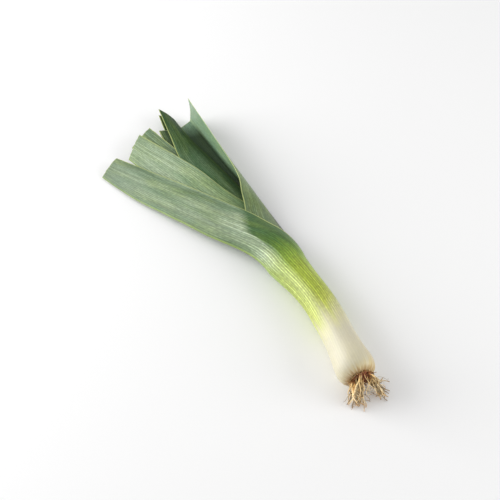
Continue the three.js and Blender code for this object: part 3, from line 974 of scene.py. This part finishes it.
def sweep(tuft, path, radii, sides, tint, coloured=1.0):
    """Adds a tube along a path to a tuft's points, faces and facts. coloured is how far its tip
    gets along the change of colour from plate to tip."""
    points, faces, facts = tuft
    first = len(points)
    last = len(path) - 1
    normal = (path[1] - path[0]).normalized().orthogonal().normalized()
    for k, centre in enumerate(path):
        ahead = (path[min(k + 1, last)] - path[max(k - 1, 0)]).normalized()
        normal = (normal - ahead * normal.dot(ahead)).normalized()
        other = ahead.cross(normal)
        for side in range(sides):
            turn = 2 * math.pi * side / sides
            points.append(centre + radii[k] * (math.cos(turn) * normal + math.sin(turn) * other))
            facts["along"].append(coloured * k / last)
            facts["tint"].append(tint)
    join_rings(faces, first, len(path), sides)


# %% [markdown]
# ## The root plate
#
# The root plate is the true stem of a leek: a short brown disc under the sheaths, corky and dull. A
# turned disc would be too regular, so its rings are raised and widened here and there by noise. The
# rings stand closer together towards the rim, where the disc turns over.

# %% The root plate
PLATE = Vector((16.6, -0.9, 17.0))  # the middle of its rim
PLATE_RADIUS = 11.0
PLATE_DEPTH = 3.0
PLATE_RINGS = 9
PLATE_SIDES = 60
PLATE_MIDDLE = 0.06  # the last ring's share of the radius
RIM_ROUNDNESS = 1.6
LUMPS = 0.5  # millimetres that the face rises where the noise is 1
WIDER = 0.08  # the share by which the disc widens there
LUMPS_ROUND, LUMPS_INWARDS = 3, 4  # the stretch of noise in either direction

points, faces, facts = [], [], {"along": [], "tint": []}
for ring in range(PLATE_RINGS):
    t = ring / (PLATE_RINGS - 1)
    radius = PLATE_RADIUS * mix(1.0, PLATE_MIDDLE, t ** RIM_ROUNDNESS)
    for side in range(PLATE_SIDES):
        turn = 2 * math.pi * side / PLATE_SIDES
        around = (LUMPS_ROUND * math.cos(turn), LUMPS_ROUND * math.sin(turn), LUMPS_INWARDS * t)
        lump = noise.noise(Vector(around))
        reach = radius * (1 + WIDER * lump)
        out = PLATE_DEPTH * math.sin(t * math.pi / 2) + LUMPS * lump
        points.append(PLATE + Vector((out, reach * math.cos(turn), reach * math.sin(turn))))
        facts["along"].append(t)
        facts["tint"].append(1.0)
join_rings(faces, 0, PLATE_RINGS, PLATE_SIDES)
corky_plate = root_material(
    "corky_plate", [(0.0, "#A87848"), (0.25, "#8A4A26"), (1.0, "#6A2E16")],
    roughness=0.7, contrast=0.6,
)
plate = add_piece("root_plate", points, faces, facts, corky_plate)

# %% [markdown]
# ## The path of a root
#
# Leek roots are stringy, two millimetres thick at most, and they curl as they dry. They leave the
# plate outwards, droop on to the surface and part into a bunch on each side, with a few thin ones
# between. A hundred are too many to draw by hand, so each follows a curve between random points,
# from a seed, so that every run gives the same tuft.

# %% The path of a root
ROOT_SEED = 21
ROOT_RINGS = 20
LEFT_SHARE = 0.58  # of the roots that go left
PARTING = 2.5  # y in millimetres, where the roots part to the left and the right
GAPS = (2, 1.5)  # millimetres from there to the nearest foot on either side
ROOTED = 0.97  # the share of the plate's radius that has roots
SUNK = 0.8  # millimetres that a root starts inside the plate
LOWEST = 0.7  # the height of a root that lies on the surface
# Where the tips of each bunch lie: x and y at the two ends of a line.
LEFT_TIPS = ((28, -22), (38, -6))
RIGHT_TIPS = ((31, 22), (38, 14))
FAR_RIGHT_TIPS = ((19, 27), (26, 24))
FAR_RIGHT_SHARE = 0.2  # of the roots that go right
# The least and most of x, y and z: where the few tips between lie, and how far any tip strays.
BETWEEN_TIPS = ((29, 37), (-4, 14))
STRAY = ((-2, 2), (-2, 2), (0, 2.5))
# How a root leaves the plate: ahead, up, away from the middle, and to the left or the right.
AHEAD = (4, 8)
UP = (-1, 2)
AWAY = 3
ASIDE = (-2, 3)
LANDS_AT = 0.7  # the share of its way where a root comes down
DROOP = 0.35  # the most of the foot's height that it still has there
BENDS = 2.9  # the stretch of noise that a root runs through
BENDS_FROM = 0.6  # under 1, the bends begin near the plate

dice = random.Random(ROOT_SEED)
noise.seed_set(ROOT_SEED)


def throw(ranges):
    """A random number from each range."""
    return [dice.uniform(least, most) for least, most in ranges]


def on_plate(out, turn, sunk):
    """A place on the face of the plate, sunk into it by so many millimetres, and the direction
    of it from the middle. out is its share of the radius."""
    round_plate = Vector((0, math.cos(turn), math.sin(turn)))
    foot = PLATE + out * PLATE_RADIUS * round_plate
    foot.x += PLATE_DEPTH * math.sqrt(1 - out ** 2) - sunk
    return foot, round_plate


def root_tip(left, between_bunches):
    """Where a root of full length ends."""
    swing = dice.random()
    if between_bunches:
        x, y = throw(BETWEEN_TIPS)
    else:
        start, end = LEFT_TIPS if left else RIGHT_TIPS
        if not left and swing < FAR_RIGHT_SHARE:
            start, end = FAR_RIGHT_TIPS
            swing = swing / FAR_RIGHT_SHARE
        x, y = [mix(a, b, swing) for a, b in zip(start, end)]
    return Vector((x, y, LOWEST)) + Vector(throw(STRAY))


def root_path(between_bunches, reach, curl):
    """A root from a place on the plate to a tip on the surface, with its own small bends."""
    left = dice.random() < LEFT_SHARE
    while True:
        out = ROOTED * math.sqrt(dice.random())
        foot, round_plate = on_plate(out, dice.uniform(0, 2 * math.pi), SUNK)
        if between_bunches or (foot.y < PARTING - GAPS[0] if left else foot.y > PARTING + GAPS[1]):
            break
    tip = foot + (root_tip(left, between_bunches) - foot) * reach
    leave = foot + Vector((dice.uniform(*AHEAD), 0, dice.uniform(*UP))) + AWAY * out * round_plate
    if not between_bunches:
        leave.y += ASIDE[0] if left else ASIDE[1]
    land = foot.lerp(tip, LANDS_AT)
    land.z = mix(LOWEST, DROOP * foot.z, dice.random())
    phase = Vector(throw([(0, 50)] * 3))
    path = []
    for k in range(ROOT_RINGS):
        t = k / (ROOT_RINGS - 1)
        u = 1 - t
        point = foot * u ** 3 + leave * 3 * u * u * t + land * 3 * u * t * t + tip * t ** 3
        bend = noise.noise_vector(phase + Vector((t * BENDS, 0, 0)))
        point += bend * curl * t ** BENDS_FROM
        point.z = max(point.z, LOWEST)
        path.append(point)
    return path


print("rings of a root:", ROOT_RINGS)

# %% [markdown]
# ## The roots
#
# Thick roots and fine ones grow side by side, each a little lighter or darker than the next. They
# taper, and the upper ones are painted lighter, for the light that falls on them from above. Each
# could be an object, but the tuft is one part, so all of them go into one mesh.

# %% The roots
# The two kinds of root: how many, the least and most radius, how far they curl, and their sides.
THICK = (60, (0.55, 0.88), (2.5, 6.5), 6)
FINE = (44, (0.2, 0.42), (4.0, 9.0), 4)
BETWEEN = 4  # every fourth fine root lies between the bunches
REACH = (0.6, 1.02)  # the least and most length, as a share of the full one
TAPER = 0.45  # the share of its radius that a root loses up to the tip
TINTS = (0.4, 0.75, 1.0, 1.35)
# Painted light: roots that start high on the plate are made lighter by this share.
UPPER_PAINTED_LIGHTER = 0.15

tuft = ([], [], {"along": [], "tint": []})  # its points, its faces and their facts
for kind in (THICK, FINE):
    count, radius, curl, sides = kind
    for number in range(count):
        between = kind is FINE and number % BETWEEN == 0
        reach = dice.uniform(*REACH)
        path = root_path(between, reach, dice.uniform(*curl))
        thick = dice.uniform(*radius)
        radii = [thick * (1 - TAPER * k / (ROOT_RINGS - 1)) for k in range(ROOT_RINGS)]
        # Painted light on the upper roots, on top of each root's own tone.
        height = (path[0].z - PLATE.z) / PLATE_RADIUS
        sweep(tuft, path, radii, sides, dice.choice(TINTS) * (1 + UPPER_PAINTED_LIGHTER * height))
print("roots:", THICK[0], "thick and", FINE[0], "fine,", len(tuft[0]), "points")

# %% [markdown]
# ## Fibres and stubs
#
# Short fibres fringe the rim of the plate, and roots that broke away left brown stubs on its face.
# Hair particles would scatter them in one go, but they are no mesh, and the shared part needs one.
# So they are tubes too, short and with few sides, in the same piece as the roots.

# %% Fibres and stubs
SIDES = 4
# How many, the radii, the least and most length and tint, and how much of a root's change of colour.
FIBRES = (170, (0.22, 0.2, 0.18, 0.15, 0.12, 0.08), (1.0, 3.0), (0.6, 1.3), 0.5)
STUBS = (150, (0.42, 0.38, 0.32, 0.25, 0.16), (1.2, 3.4), (0.7, 1.3), 0.13)
FIBRE_FROM = 0.98  # where a fibre stands, as a share of the plate's radius
FIBRE_ROW = (-0.2, 0.6)  # and in millimetres of x from the rim
FIBRE_AWAY = 0.7
FIBRE_LEAN = (-1, 1)
FIBRE_BOW = ((0, 1), (-0.6, 0.6), (-0.6, 0.6))
STUB_SUNK = 0.6
STUB_LEAN = ((0.4, 1), (-0.7, 0.7), (-0.9, 0.3))


def fibre(length):
    """The start and the end of a fibre, and how it bows between them."""
    turn = dice.uniform(0, 2 * math.pi)
    round_plate = Vector((0, math.cos(turn), math.sin(turn)))
    foot = PLATE + FIBRE_FROM * PLATE_RADIUS * round_plate
    foot += Vector((dice.uniform(*FIBRE_ROW), 0, 0))
    long = dice.uniform(*length)
    lean = FIBRE_AWAY * round_plate + Vector((dice.uniform(*FIBRE_LEAN), 0, 0))
    return foot, foot + long * lean, Vector(throw(FIBRE_BOW))


def stub(length):
    """The start and the end of a stub, which is straight."""
    out = math.sqrt(dice.random())
    foot, round_plate = on_plate(out, dice.uniform(0, 2 * math.pi), STUB_SUNK)
    long = dice.uniform(*length)
    return foot, foot + long * (Vector(throw(STUB_LEAN)) + out * round_plate), Vector()


for grow, (count, radii, length, tint, coloured) in ((fibre, FIBRES), (stub, STUBS)):
    steps = [k / (len(radii) - 1) for k in range(len(radii))]
    for _ in range(count):
        foot, end, bow = grow(length)
        path = [foot.lerp(end, t) + bow * math.sin(t * math.pi) for t in steps]
        sweep(tuft, path, radii, SIDES, dice.uniform(*tint), coloured)

dry_root = root_material(
    "dry_root",
    [(0.0, "#5E3018"), (0.1, "#A66E3A"), (0.22, "#EDC884"), (0.7, "#FBE6BA"), (1.0, "#CAA26C")],
    roughness=0.34, contrast=0.3,
)
roots = add_piece("roots", *tuft, dry_root)
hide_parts("root_tuft")
